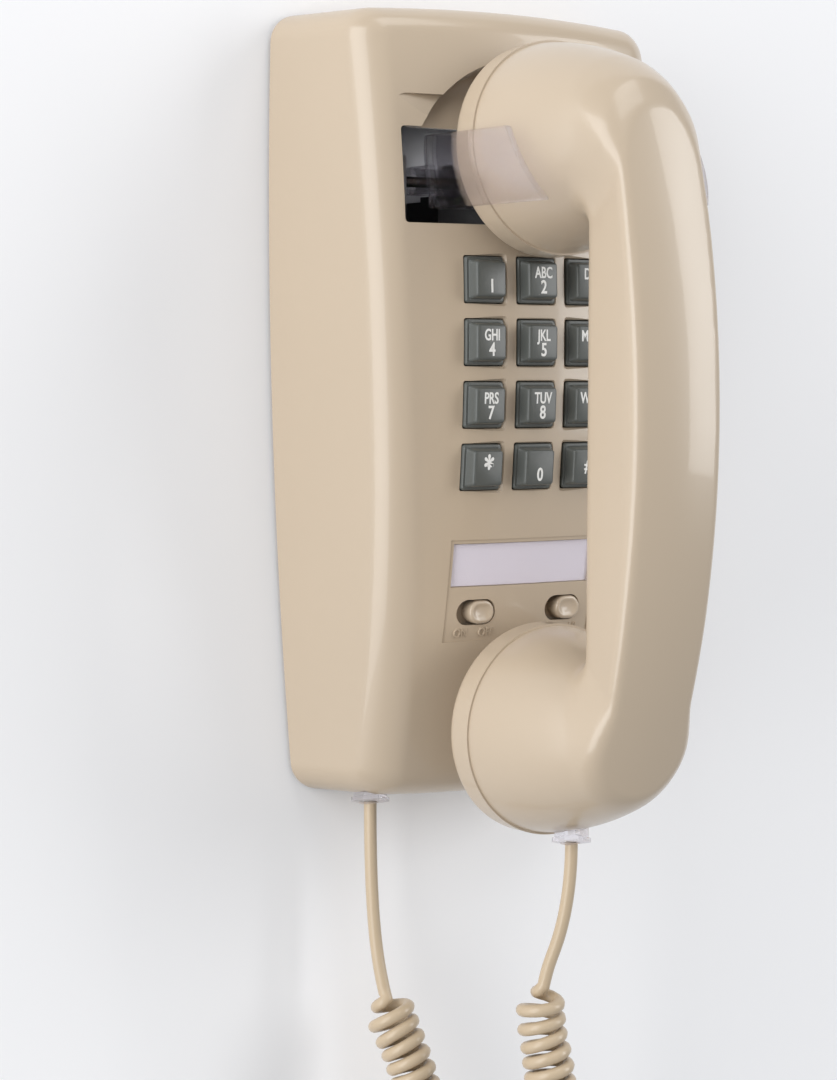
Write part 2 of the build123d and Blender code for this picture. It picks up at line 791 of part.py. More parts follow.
def handle_y(z, inset):
    """Depth of the handle's outer face."""
    return -handle_front + inset + (z - handle_mid_z) ** 2 / (2 * handle_bow)


receiver_plane = cup_plane(receiver_y, receiver_z, receiver_lean)
transmitter_plane = cup_plane(transmitter_y, transmitter_z, transmitter_lean)
handle_high = receiver_z + 15.5
handle_low = transmitter_z - 16.0
cup_top = receiver_z + cup_radius
cup_bottom = transmitter_z - cup_radius

with BuildPart() as handset_shell:
    with BuildSketch(Plane.YZ) as side_view:
        with BuildLine():
            ThreePointArc(
                (handle_y(handle_high, 0), handle_high),
                (-handle_front, handle_mid_z),
                (handle_y(handle_low, 0), handle_low),
            )
            Polyline(
                (handle_y(handle_low, 0), handle_low),
                (transmitter_y - 14, cup_bottom + 3),
                (transmitter_y - 4, transmitter_z),
                (transmitter_y - 16, cup_bottom + 2 * cup_radius - 3),
                (-handle_inner, transmitter_z + cup_radius + 8),
                (-handle_inner, receiver_z - cup_radius - 4),
                (receiver_y - 16, receiver_z - cup_radius + 3),
                (receiver_y - 4, receiver_z),
                (receiver_y - 14, cup_top - 3),
                (handle_y(handle_high, 0), handle_high),
            )
        make_face()
        corners = side_view.vertices()
        fillet(corners.filter_by(lambda corner: corner.X < -handle_inner - 1), 11)
        fillet(corners.filter_by(lambda corner: abs(corner.X + handle_inner) < 0.1), 16)
    extrude(amount=handle_width / 2, both=True)
    outer_edges = handset_shell.edges().filter_by(
        lambda edge: abs(abs(edge.center().X) - handle_width / 2) < 0.1 and edge.center().Y < -handle_inner - 8
    )
    fillet(outer_edges, handle_edge_radius)
    add(cup_solid(receiver_plane, 0))
    add(cup_solid(transmitter_plane, 0))
    add(cup_solid(receiver_plane, shell_wall), mode=Mode.SUBTRACT)
    add(cup_solid(transmitter_plane, shell_wall), mode=Mode.SUBTRACT)
    with BuildSketch(Plane.YZ):
        with BuildLine():
            channel_high = receiver_z - 4
            channel_low = transmitter_z + 4
            ThreePointArc(
                (handle_y(channel_high, shell_wall), channel_high),
                (-handle_front + shell_wall, handle_mid_z),
                (handle_y(channel_low, shell_wall), channel_low),
            )
            Polyline(
                (handle_y(channel_low, shell_wall), channel_low),
                (-handle_inner - shell_wall, channel_low),
                (-handle_inner - shell_wall, channel_high),
                (handle_y(channel_high, shell_wall), channel_high),
            )
        make_face()
    extrude(amount=handle_width / 2 - handle_edge_radius + 1, both=True, mode=Mode.SUBTRACT)
    with BuildSketch(Plane.XY.offset(handset_exit_z)):
        with Locations(handset_exit):
            Rectangle(plug_width - 2 + 2 * slide_gap, plug_depth - 1 + 2 * slide_gap)
    extrude(amount=16, mode=Mode.SUBTRACT)
handset_shell.part.label = "handset_shell"
export_step(handset_shell.part, "parts/handset_shell.step")

cap_wall = 2.2
collar_radius = cup_radius - shell_wall - 4 * hole_gap
collar_length = 3.0
for name, plane in (("receiver_cap", receiver_plane), ("transmitter_cap", transmitter_plane)):
    with BuildPart() as cap:
        with BuildSketch(plane):
            with BuildLine():
                Polyline((0, collar_radius), (0, cap_radius), (-cap_skirt + 3, cap_radius))
                ThreePointArc(
                    (-cap_skirt + 3, cap_radius),
                    (-cap_skirt + 0.9, cap_radius - 0.9),
                    (-cap_skirt, cap_radius - 3),
                )
                ThreePointArc(
                    (-cap_skirt, cap_radius - 3),
                    (-cap_skirt - cap_dome * 0.72, cap_radius / 2),
                    (-cap_skirt - cap_dome, 0),
                )
                Line((-cap_skirt - cap_dome, 0), (-cap_skirt - cap_dome + cap_wall, 0))
                ThreePointArc(
                    (-cap_skirt - cap_dome + cap_wall, 0),
                    (-cap_skirt - cap_dome * 0.72 + cap_wall, cap_radius / 2),
                    (-cap_skirt + cap_wall, cap_radius - 3 - cap_wall / 2),
                )
                Polyline(
                    (-cap_skirt + cap_wall, cap_radius - 3 - cap_wall / 2),
                    (-cap_skirt + cap_wall, collar_radius - cap_wall),
                    (collar_length, collar_radius - cap_wall),
                    (collar_length, collar_radius),
                    (0, collar_radius),
                )
            make_face()
        revolve(axis=cup_axis(plane))
        face_out = Plane(origin=plane.origin, x_dir=(1, 0, 0), z_dir=-plane.x_dir)
        with BuildSketch(face_out):
            Circle(1.1)
            with PolarLocations(5, 6):
                Circle(1.1)
            with PolarLocations(10, 10):
                Circle(1.1)
        extrude(amount=cap_skirt + cap_dome + 1, mode=Mode.SUBTRACT)
    cap.part.label = name
    export_step(cap.part, f"parts/{name}.step")

receiver_out = Plane(origin=receiver_plane.origin, x_dir=(1, 0, 0), z_dir=-receiver_plane.x_dir)
transmitter_out = Plane(origin=transmitter_plane.origin, x_dir=(1, 0, 0), z_dir=-transmitter_plane.x_dir)
seat_radius = collar_radius - cap_wall - hole_gap

with BuildPart() as receiver_capsule:
    with BuildSketch(receiver_out.offset(cap_skirt - cap_wall - 4)):
        Circle(seat_radius)
    extrude(amount=3)
    with BuildSketch(receiver_out.offset(cap_skirt - cap_wall - 4)):
        Circle(receiver_capsule_radius)
    extrude(amount=-receiver_capsule_depth)
receiver_capsule.part.label = "receiver_capsule"
export_step(receiver_capsule.part, "parts/receiver_capsule.step")

with BuildPart() as transmitter_capsule:
    with BuildSketch(transmitter_out.offset(cap_skirt - cap_wall - 4)):
        Circle(seat_radius)
    extrude(amount=3)
    with BuildSketch(transmitter_out.offset(cap_skirt - cap_wall - 4)):
        Circle(transmitter_capsule_radius)
    extrude(amount=-transmitter_capsule_depth)
transmitter_capsule.part.label = "transmitter_capsule"
export_step(transmitter_capsule.part, "parts/transmitter_capsule.step")

with BuildPart() as transmitter_cup:
    with BuildSketch(transmitter_out.offset(cap_skirt - cap_wall - 4)):
        Circle(seat_radius)
        Circle(transmitter_capsule_radius + hole_gap, mode=Mode.SUBTRACT)
    extrude(amount=-transmitter_capsule_depth)
    with BuildSketch(transmitter_out.offset(cap_skirt - cap_wall - 4 - transmitter_capsule_depth)):
        Circle(transmitter_capsule_radius + 1)
        Circle(6, mode=Mode.SUBTRACT)
    extrude(amount=-1.5)
transmitter_cup.part.label = "transmitter_cup"
export_step(transmitter_cup.part, "parts/transmitter_cup.step")

# ---- Jacks and the cord's plugs ----
ends = (
    ("base", base_exit, base_exit_z),
    ("handset", handset_exit, handset_exit_z),
)
for name, (x, y), z in ends:
    with BuildPart() as plug:
        with BuildSketch(Plane.XY.offset(z)):
            with Locations((x, y)):
                RectangleRounded(plug_width, plug_depth, 1)
        extrude(amount=plug_flange)
        with BuildSketch(Plane.XY.offset(z)):
            with Locations((x, y)):
                Rectangle(plug_width - 2, plug_depth - 1)
        extrude(amount=plug_height)
    plug.part.label = f"cord_plug_{name}"
    export_step(plug.part, f"parts/cord_plug_{name}.step")

    with BuildPart() as jack:
        with BuildSketch(Plane.XY.offset(z + jack_start)):
            with Locations((x, y)):
                Rectangle(plug_width - 2 + 2 * jack_wall + 2 * hole_gap, plug_depth - 1 + 2 * jack_wall + 2 * hole_gap)
        extrude(amount=plug_height + 2.2 - jack_start)
        with BuildSketch(Plane.XY.offset(z + jack_start)):
            with Locations((x, y)):
                Rectangle(plug_width - 2 + 2 * hole_gap, plug_depth - 1 + 2 * hole_gap)
        extrude(amount=plug_height + hole_gap - jack_start, mode=Mode.SUBTRACT)
    jack.part.label = f"{name}_jack"
    export_step(jack.part, f"parts/{name}_jack.step")

# ---- Cord: a straight tail at each end and the curly part as one tube of its outer size ----
cord_span = hypot(handset_exit[0] - base_exit[0], handset_exit[1] - base_exit[1])


def cord_spot(along, z):
    """A place in the upright plane through both of the cord's ends."""
    share = along / cord_span
    x = base_exit[0] + share * (handset_exit[0] - base_exit[0])
    y = base_exit[1] + share * (handset_exit[1] - base_exit[1])
    return Vector(x, y, z)


def bend_radii(points):
    """The largest easy bend at each inner point of a route."""
    radii = []
    for before, corner, after in zip(points, points[1:], points[2:]):
        arriving = corner - before
        leaving = after - corner
        half_turn = radians(arriving.get_angle(leaving)) / 2
        radii.append(0.45 * min(arriving.length, leaving.length) / tan(half_turn))
    return radii


cord_routes = {
    "cord_tail_base": (
        cord_diameter,
        [cord_spot(0, base_exit_z), cord_spot(0, -147), cord_spot(4.5, -178)],
    ),
    "cord_coil": (
        curl_diameter,
        [
            cord_spot(4.5, -178),
            cord_spot(10, -197),
            cord_spot(15, -225),
            cord_spot(17, -256.3),
            cord_spot(28.7, -268),
            cord_spot(45.3, -268),
            cord_spot(57, -256.3),
            cord_spot(58.5, -225),
            cord_spot(57.5, -197),
            cord_spot(52, -173),
        ],
    ),
    "cord_tail_handset": (
        cord_diameter,
        [cord_spot(cord_span, handset_exit_z), cord_spot(cord_span, -145), cord_spot(52, -173)],
    ),
}
for name, (diameter, points) in cord_routes.items():
    radii = bend_radii(points)
    with BuildPart() as cord:
        with BuildLine() as route:
            FilletPolyline(*points, radius=radii)
        with BuildSketch(Plane(origin=route.line @ 0, z_dir=route.line % 0)):
            Circle(diameter / 2)
        sweep()
    section = pi * diameter**2 / 4
    print(name, "bends", [round(radius, 1) for radius in radii], "length", round(cord.part.volume / section, 1))
    cord.part.label = name
    export_step(cord.part, f"parts/{name}.step")
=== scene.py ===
"""Looks of the corded wall telephone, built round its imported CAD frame.

Metres. The wall is the plane Y = 0 and the telephone stands out towards -Y, with +Z up.
"""

import json
from math import cos, pi, radians, sin, tan

import bmesh
import bpy
import numpy as np
from mathutils import Matrix, Vector


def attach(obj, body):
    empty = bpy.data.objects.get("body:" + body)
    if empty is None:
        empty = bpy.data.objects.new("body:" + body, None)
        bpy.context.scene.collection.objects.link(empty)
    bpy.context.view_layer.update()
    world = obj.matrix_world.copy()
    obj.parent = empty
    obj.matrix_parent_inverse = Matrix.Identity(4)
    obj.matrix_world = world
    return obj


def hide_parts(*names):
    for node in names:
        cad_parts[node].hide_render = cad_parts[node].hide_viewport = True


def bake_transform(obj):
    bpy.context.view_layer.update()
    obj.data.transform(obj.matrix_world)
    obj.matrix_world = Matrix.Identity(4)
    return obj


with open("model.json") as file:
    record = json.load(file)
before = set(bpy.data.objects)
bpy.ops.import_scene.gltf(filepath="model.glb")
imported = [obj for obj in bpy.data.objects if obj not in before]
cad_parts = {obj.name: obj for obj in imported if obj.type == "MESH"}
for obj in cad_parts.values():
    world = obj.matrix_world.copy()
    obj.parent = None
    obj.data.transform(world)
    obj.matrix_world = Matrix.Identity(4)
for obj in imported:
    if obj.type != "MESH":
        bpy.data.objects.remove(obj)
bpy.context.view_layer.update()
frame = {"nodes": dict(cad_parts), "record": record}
nodes = frame["nodes"]
scene = bpy.context.scene

# ---- Sizes shared with the CAD ----
BODY_HEIGHT = 0.229
BODY_WIDTH = 0.1254
BODY_DEPTH = 0.0475
WALL = 0.0025
FACE_EDGE = 0.0072
INNER_FACE_EDGE = 0.003
WIDEST_Z = 0.062
REAR_BOW = 1.912
OUTLINE_REACH = 0.0515
FACE_WIDTH = 0.0962
FACE_BOW = 0.760
END_BOW = 0.0016
CORNER_RADIUS = 0.008
CROWN_ACROSS = 0.248
CROWN_ALONG = 0.480
CROWN_Z = 0.0205
SCOOP_FOOT_Z = 0.0745
SCOOP_LEDGE_Z = 0.090
SCOOP_WIDTH = 0.092
SCOOP_LEAN = radians(21)
DISH_RADIUS = 0.043
DISH_RISE = 0.006
DISH_FOOT_Z = 0.052
DISH_LEAN = radians(18)
RECESS_EDGE = 0.0012
OPENING_WIDTH = 0.086
OPENING_LOW = 0.053
OPENING_HIGH = 0.0806
BOSSES = [(0.045, 0.098), (-0.045, 0.098), (0.046, -0.092), (-0.046, -0.092)]
BOSS_RADIUS = 0.004
BOSS_FRONT = -0.0116
BOSS_REAR = -0.0016
KEY_PITCH = 0.0181
KEYPAD_Z = 0.010
KEY_HOLE = 0.0139
KEY_SKIRT = 0.0133
KEY_CAP = 0.0110
KEY_TOP = 0.0038
PANEL_WIDTH = 0.053
PANEL_TOP = -0.0384
PANEL_BOTTOM = -0.0686
PANEL_SINK = 0.0004
LABEL_WIDTH = 0.0506
LABEL_HEIGHT = 0.0128
LABEL_Z = -0.0459
LABEL_SINK = 0.0018
SWITCH_X = 0.0158
SWITCH_Z = -0.060
SLOT_LENGTH = 0.0134
SLOT_HEIGHT = 0.0076
KNOB_LENGTH = 0.0088
KNOB_SHIFT = 0.002
PLATE_LENGTH = 0.020
PLATE_HEIGHT = 0.0096
LETTERING_Z = -0.0662
HOOK_Z = 0.0745
PRONG_INNER = 0.0316
PRONG_THICKNESS = 0.0024
PRONG_LOW_TURN = radians(-30)
PRONG_HIGH_TURN = radians(7)
PRONG_TIP_Y = -0.090
PRONG_TIP_LEAN = 0.012
PRONG_REAR_Y = -0.038
WEB_Y = -0.03925
WEB_THICKNESS = 0.0025
ARM_Y = -0.031
ARM_REACH = 0.007
PIVOT_Y = -0.024
PIVOT_Z = 0.066
BARREL_RADIUS = 0.004
PIN_ROOM = 0.00156
CUP_RADIUS = 0.0304
CUP_DEPTH = 0.042
RECEIVER = (-0.0585, 0.075, radians(4))
TRANSMITTER = (-0.057, -0.0938, 0.0)
HANDLE_WIDTH = 0.031
HANDLE_FRONT = 0.115
HANDLE_INNER = 0.0875
HANDLE_BOW = 0.296
HANDLE_MID_Z = -0.003
HANDLE_EDGE = 0.0028
CUP_BLEND = 0.007
SHELL_WALL = 0.0026
BASE_EXIT = (-0.0366, -0.015, -0.1176)
HANDSET_EXIT = (0.0, -0.066, -0.1258)
GLAND_WIDTH = 0.0082
GLAND_DEPTH = 0.0072
CORD_DIAMETER = 0.0038
CURL_DIAMETER = 0.0152
CURL_PITCH = 0.0046
BEND_SPREAD = 0.0014
END_SPREAD = 0.0010
BASE_TAIL = 0.0580
HANDSET_TAIL = 0.0440
CAMERA_PLACE = (-0.4649, -0.6729, 0.0113)
CAMERA_TURN = 0.59513185
CAMERA_PITCH = 0.06445680
CAMERA_ROLL = 0.00300621
CAMERA_LENS = 88.33
BACKDROP_Y = 0.0012
BACKDROP_HALF = 3.0


# ---- Camera at the viewpoint of the photograph ----
def add_camera():
    level = cos(CAMERA_PITCH)
    forward = Vector((sin(CAMERA_TURN) * level, cos(CAMERA_TURN) * level, -sin(CAMERA_PITCH)))
    right = forward.cross(Vector((0, 0, 1))).normalized()
    up = right.cross(forward)
    rolled_right = cos(CAMERA_ROLL) * right + sin(CAMERA_ROLL) * up
    rolled_up = -sin(CAMERA_ROLL) * right + cos(CAMERA_ROLL) * up
    data = bpy.data.cameras.new("photo_camera")
    data.lens = CAMERA_LENS
    data.sensor_width = 36
    data.clip_end = 20
    camera = bpy.data.objects.new("photo_camera", data)
    scene.collection.objects.link(camera)
    turned = Matrix((rolled_right, rolled_up, -forward)).transposed()
    camera.matrix_world = Matrix.Translation(CAMERA_PLACE) @ turned.to_4x4()
    scene.camera = camera


# ---- Materials ----
def new_material(name):
    """A material with one shader, and coordinates that move with the piece."""
    material = bpy.data.materials.new(name)
    material.use_nodes = True
    tree = material.node_tree
    tree.nodes.clear()
    output = tree.nodes.new("ShaderNodeOutputMaterial")
    shader = tree.nodes.new("ShaderNodeBsdfPrincipled")
    tree.links.new(shader.outputs[0], output.inputs[0])
    place = tree.nodes.new("ShaderNodeTexCoord")
    return material, tree, shader, place


def add_noise(tree, place, scale, detail, stretch=(1, 1, 1)):
    mapping = tree.nodes.new("ShaderNodeMapping")
    mapping.inputs["Scale"].default_value = stretch
    noise = tree.nodes.new("ShaderNodeTexNoise")
    noise.inputs["Scale"].default_value = scale
    noise.inputs["Detail"].default_value = detail
    tree.links.new(place.outputs["Object"], mapping.inputs["Vector"])
    tree.links.new(mapping.outputs[0], noise.inputs["Vector"])
    return noise


def add_range(tree, source, low, high):
    span = tree.nodes.new("ShaderNodeMapRange")
    span.inputs["From Min"].default_value = 0.1
    span.inputs["From Max"].default_value = 0.9
    span.inputs["To Min"].default_value = low
    span.inputs["To Max"].default_value = high
    tree.links.new(source, span.inputs["Value"])
    return span


def add_colours(tree, source, dark, light):
    ramp = tree.nodes.new("ShaderNodeValToRGB")
    ramp.color_ramp.elements[0].position = 0.1
    ramp.color_ramp.elements[1].position = 0.9
    ramp.color_ramp.elements[0].color = (*dark, 1)
    ramp.color_ramp.elements[1].color = (*light, 1)
    tree.links.new(source, ramp.inputs["Fac"])
    return ramp


def surface(
    name, colour, rough, grain=900, bump=0.05, spread=0.06, metal=0.0, coat=0.0, stretch=(1, 1, 1)
):
    """A moulded or plated finish: fine grain in the bump, slow stains in colour and gloss."""
    material, tree, shader, place = new_material(name)
    stain = add_noise(tree, place, 26, 1)
    dark = [c * (1 - spread) for c in colour]
    light = [min(1, c * (1 + spread)) for c in colour]
    ramp = add_colours(tree, stain.outputs["Fac"], dark, light)
    tree.links.new(ramp.outputs["Color"], shader.inputs["Base Color"])
    smear = add_noise(tree, place, 60, 1, stretch)
    gloss = add_range(tree, smear.outputs["Fac"], rough[0], rough[1])
    tree.links.new(gloss.outputs[0], shader.inputs["Roughness"])
    fine = add_noise(tree, place, grain, 2, stretch)
    relief = tree.nodes.new("ShaderNodeBump")
    relief.inputs["Strength"].default_value = bump
    relief.inputs["Distance"].default_value = 0.0002
    tree.links.new(fine.outputs["Fac"], relief.inputs["Height"])
    tree.links.new(relief.outputs[0], shader.inputs["Normal"])
    shader.inputs["Metallic"].default_value = metal
    shader.inputs["Coat Weight"].default_value = coat
    shader.inputs["Coat Roughness"].default_value = 0.06
    return material


def clear_surface(name, colour, roughness, see_through):
    """Clear moulded plastic with faint flow marks and finger haze, part of it plainly see-through."""
    material, tree, shader, place = new_material(name)
    haze = add_noise(tree, place, 120, 4)
    gloss = add_range(tree, haze.outputs["Fac"], roughness * 0.4, roughness * 1.6)
    tree.links.new(gloss.outputs[0], shader.inputs["Roughness"])
    tint = add_colours(tree, haze.outputs["Fac"], [c * 0.96 for c in colour], colour)
    tree.links.new(tint.outputs["Color"], shader.inputs["Base Color"])
    flow = add_noise(tree, place, 60, 2, (1, 0.3, 1))
    relief = tree.nodes.new("ShaderNodeBump")
    relief.inputs["Strength"].default_value = 0.06
    relief.inputs["Distance"].default_value = 0.0003
    tree.links.new(flow.outputs["Fac"], relief.inputs["Height"])
    tree.links.new(relief.outputs[0], shader.inputs["Normal"])
    shader.inputs["Transmission Weight"].default_value = 1.0
    shader.inputs["IOR"].default_value = 1.38
    plain = tree.nodes.new("ShaderNodeBsdfTransparent")
    plain.inputs["Color"].default_value = (*colour, 1)
    mixed = tree.nodes.new("ShaderNodeMixShader")
    mixed.inputs["Fac"].default_value = see_through
    tree.links.new(shader.outputs[0], mixed.inputs[1])
    tree.links.new(plain.outputs[0], mixed.inputs[2])
    output = [node for node in tree.nodes if node.type == "OUTPUT_MATERIAL"][0]
    tree.links.new(mixed.outputs[0], output.inputs[0])
    return material


beige = surface("beige_plastic", (0.50, 0.405, 0.30), (0.27, 0.33), bump=0.05, spread=0.010, coat=0.32)
cord_beige = surface("cord_sleeve", (0.52, 0.41, 0.28), (0.30, 0.42), 1400, 0.06, 0.04, coat=0.15)
key_grey = surface("grey_key_plastic", (0.085, 0.092, 0.086), (0.30, 0.42), 1800, 0.08, 0.07)
ink = surface("white_ink", (0.80, 0.80, 0.78), (0.40, 0.55), 2500, 0.05, 0.03)
black = surface("black_plastic", (0.018, 0.017, 0.018), (0.35, 0.5), 1500, 0.1, 0.15)
zinc = surface("zinc_steel", (0.50, 0.51, 0.52), (0.28, 0.45), 700, 0.1, 0.1, 1.0, stretch=(8, 1, 1))
bright = surface("bright_steel", (0.62, 0.62, 0.63), (0.15, 0.28), 900, 0.05, 0.05, 1.0)
board = surface("circuit_board", (0.10, 0.17, 0.06), (0.35, 0.5), 1200, 0.1, 0.12)
rubber = surface("mat_rubber", (0.34, 0.34, 0.31), (0.55, 0.7), 1400, 0.15, 0.06)
case = surface("component_case", (0.05, 0.045, 0.04), (0.35, 0.5), 1000, 0.1, 0.2)
card = surface("white_card", (0.84, 0.82, 0.84), (0.5, 0.65), 2200, 0.08, 0.02)
brass = surface("gong_brass", (0.66, 0.48, 0.18), (0.18, 0.32), 900, 0.05, 0.1, 1.0)
capsule = surface("capsule_metal", (0.55, 0.55, 0.55), (0.3, 0.45), 900, 0.08, 0.06, 1.0)
clear = clear_surface("clear_plastic", (0.97, 0.96, 0.985), 0.04, 0.62)
thin_clear = clear_surface("thin_clear_plastic", (0.97, 0.96, 0.98), 0.04, 0.85)
by_slot = {
    "beige_plastic": beige,
    "cord_sleeve": cord_beige,
    "grey_key_plastic": key_grey,
    "black_plastic": black,
    "zinc_steel": zinc,
    "bright_steel": bright,
    "circuit_board": board,
    "mat_rubber": rubber,
    "component_case": case,
    "white_card": card,
    "gong_brass": brass,
    "capsule_metal": capsule,
    "clear_plastic": clear,
}
for part in frame["record"]["subparts"]:
    node = nodes[part["node"]]
    for index in range(len(node.material_slots)):
        node.material_slots[index].material = by_slot[part["material_slot"]]


# ---- Mesh helpers ----
def add_mesh(name, points, faces, materials):
    """A piece made of points and faces, with its faces turned outwards."""
    mesh = bpy.data.meshes.new(name)
    mesh.from_pydata([tuple(p) for p in points], [], [tuple(f) for f in faces])
    for material in materials:
        mesh.materials.append(material)
    shell = bmesh.new()
    shell.from_mesh(mesh)
    bmesh.ops.recalc_face_normals(shell, faces=shell.faces)
    shell.to_mesh(mesh)
    shell.free()
    piece = bpy.data.objects.new(name, mesh)
    scene.collection.objects.link(piece)
    return piece


def shade(piece, angle=radians(32)):
    """Smooth shading that keeps real edges sharp."""
    piece.data.polygons.foreach_set("use_smooth", [True] * len(piece.data.polygons))
    piece.data.set_sharp_from_angle(angle=angle)


def round_join(a, b, radius):
    """Union of two signed distances with a fillet."""
    corner = np.hypot(np.maximum(radius - a, 0), np.maximum(radius - b, 0))
    return np.maximum(radius, np.minimum(a, b)) - corner


def round_meet(a, b, radius):
    """Intersection of two signed distances with a rounded edge."""
    corner = np.hypot(np.maximum(radius + a, 0), np.maximum(radius + b, 0))
    return np.minimum(-radius, np.maximum(a, b)) + corner


def smooth_step(low, high, value):
    share = np.clip((value - low) / (high - low), 0, 1)
    return share * share * (3 - 2 * share)


def settle(shape, points, step, rounds=2):
    """Moves points along the gradient of a signed distance, onto its zero level."""
    reach = step * 0.02
    for _ in range(rounds):
        x, y, z = points.T
        value = shape(x, y, z)
        slope = np.stack(
            [
                shape(x + reach, y, z) - shape(x - reach, y, z),
                shape(x, y + reach, z) - shape(x, y - reach, z),
                shape(x, y, z + reach) - shape(x, y, z - reach),
            ],
            -1,
        ) / (2 * reach)
        size = np.maximum((slope**2).sum(1), 0.05)
        move = np.clip(value / size, -step, step)
        points = points - slope * move[:, None]
    return points


def surface_net(shape, low, high, step):
    """Points and quads round the zero level of a signed distance."""
    axes = [np.arange(a, b + step, step) for a, b in zip(low, high)]
    x, y, z = np.meshgrid(*axes, indexing="ij")
    inside = shape(x, y, z) < 0
    cells = [n - 1 for n in inside.shape]
    count = np.zeros(cells, int)
    for i in (0, 1):
        for j in (0, 1):
            for k in (0, 1):
                count += inside[i : i + cells[0], j : j + cells[1], k : k + cells[2]]
    mixed = (count > 0) & (count < 8)
    number = np.full(mixed.shape, -1)
    number[mixed] = np.arange(mixed.sum())
    points = (np.argwhere(mixed) + 0.5) * step + np.array(low)
    quads = []
    for axis in range(3):
        order = [axis, (axis + 1) % 3, (axis + 2) % 3]
        filled = inside.transpose(order)
        cell = number.transpose(order)
        crossing = filled[:-1, 1:-1, 1:-1] != filled[1:, 1:-1, 1:-1]
        outward = filled[:-1, 1:-1, 1:-1][crossing]
        i, j, k = np.nonzero(crossing)
        corners = [cell[i, j, k], cell[i, j + 1, k], cell[i, j + 1, k + 1], cell[i, j, k + 1]]
        ring = np.stack(corners, -1)
        ring[~outward] = ring[~outward][:, ::-1]
        quads.append(ring)
    quads = np.concatenate(quads)
    points = settle(shape, points, step)
    for _ in range(4):
        total = np.zeros_like(points)
        share = np.zeros(len(points))
        for a, b in ((0, 1), (1, 2), (2, 3), (3, 0)):
            for side in range(3):
                total[:, side] += np.bincount(quads[:, a], points[quads[:, b], side], len(points))
            share += np.bincount(quads[:, a], minlength=len(points))
        points = settle(shape, 0.5 * points + 0.5 * total / share[:, None], step)
    return points, quads


def loft(rings):
    """Points and faces of a closed skin over rings that have the same number of points."""
    count = len(rings[0])
    points = [p for ring in rings for p in ring]
    faces = []
    for level in range(len(rings) - 1):
        for i in range(count):
            j = (i + 1) % count
            base = level * count
            faces.append((base + i, base + j, base + count + j, base + count + i))
    faces.append(tuple(reversed(range(count))))
    faces.append(tuple(range((len(rings) - 1) * count, len(rings) * count)))
    return points, faces


def rounded_rectangle(width, height, radius, steps=5):
    """Points of a rounded rectangle, anticlockwise, in its own plane."""
    ring = []
    for quarter, (across, along) in enumerate(((1, 1), (-1, 1), (-1, -1), (1, -1))):
        for step in range(steps + 1):
            angle = (quarter + step / steps) * pi / 2
            x = across * (width / 2 - radius) + radius * cos(angle)
            y = along * (height / 2 - radius) + radius * sin(angle)
            ring.append((x, y))
    return ring


def cut(piece, cutters):
    """Takes the cutters out of a piece, and removes them."""
    for cutter in cutters:
        step = piece.modifiers.new("cut", "BOOLEAN")
        step.operation = "DIFFERENCE"
        step.solver = "MANIFOLD"
        step.object = cutter
    evaluated = piece.evaluated_get(bpy.context.evaluated_depsgraph_get())
    mesh = bpy.data.meshes.new_from_object(evaluated)
    piece.modifiers.clear()
    piece.data = mesh
    for cutter in cutters:
        bpy.data.objects.remove(cutter)


def face_y(x, z):
    return -BODY_DEPTH + x * x / (2 * CROWN_ACROSS) + (z - CROWN_Z) ** 2 / (2 * CROWN_ALONG)


def face_frame(x, z, height=0.0):
    """Frame on the crowned face: X right, Y up along the face, Z out of the housing."""
    lean = (z - CROWN_Z) / CROWN_ALONG
    out = Vector((0, -cos(lean), sin(lean)))
    right = Vector((1, 0, 0))
    up = out.cross(right)
    place = Matrix((right, up, out)).transposed().to_4x4()
    place.translation = Vector((x, face_y(x, z), z)) + out * height
    return place


def placed(place, ring, height):
    return [place @ Vector((x, y, height)) for x, y in ring]


# ---- Housing cover ----
def housing_shape(inset, face_radius, rear_end, recessed):
    """Signed distance of the housing with every surface moved in by the inset."""
    dish_out = (-cos(DISH_LEAN), sin(DISH_LEAN))
    scoop_out = (-cos(SCOOP_LEAN), sin(SCOOP_LEAN))
    dish_foot_y = face_y(0, DISH_FOOT_Z) + inset
    scoop_foot_y = face_y(0, SCOOP_FOOT_Z) + inset

    def distance(x, y, z):
        depth = -y / OUTLINE_REACH
        rear = BODY_WIDTH / 2 - (z - WIDEST_Z) ** 2 / (2 * REAR_BOW)
        front = FACE_WIDTH / 2 - (z - WIDEST_Z) ** 2 / (2 * FACE_BOW)
        half = rear + (front - rear) * depth
        draft = np.cos(np.arctan((rear - front) / OUTLINE_REACH))
        side = (np.abs(x) - half) * draft + inset
        end = np.abs(z) - BODY_HEIGHT / 2 - END_BOW * (1 - (x / half) ** 2) + inset
        walls = round_meet(side, end, max(CORNER_RADIUS - inset, 0.002))
        face = face_y(x, z) + inset - y
        body = np.maximum(round_meet(walls, face, face_radius), y - rear_end)
        if not recessed:
            return body
        slope = (y - scoop_foot_y) * scoop_out[0] + (z - SCOOP_FOOT_Z) * scoop_out[1]
        ledge = z - SCOOP_LEDGE_Z - inset
        scoop = round_meet(ledge, np.abs(x) - SCOOP_WIDTH / 2 - inset, 0.006)
        scoop = np.maximum(scoop, -slope)
        body = round_meet(body, -scoop, RECESS_EDGE)
        out = (y - dish_foot_y) * dish_out[0] + (z - DISH_FOOT_Z) * dish_out[1]
        along = (y - dish_foot_y) * sin(DISH_LEAN) + (z - DISH_FOOT_Z) * cos(DISH_LEAN) - DISH_RISE
        dish = np.maximum(np.hypot(x, along) - DISH_RADIUS - inset, -out)
        return round_meet(body, -dish, RECESS_EDGE)

    return distance


def prism(name, ring, y_near, y_far):
    """Closed cutter that runs along Y."""
    near = [(x, y_near, z) for x, z in ring]
    far = [(x, y_far, z) for x, z in ring]
    return add_mesh(name, *loft([near, far]), [beige])


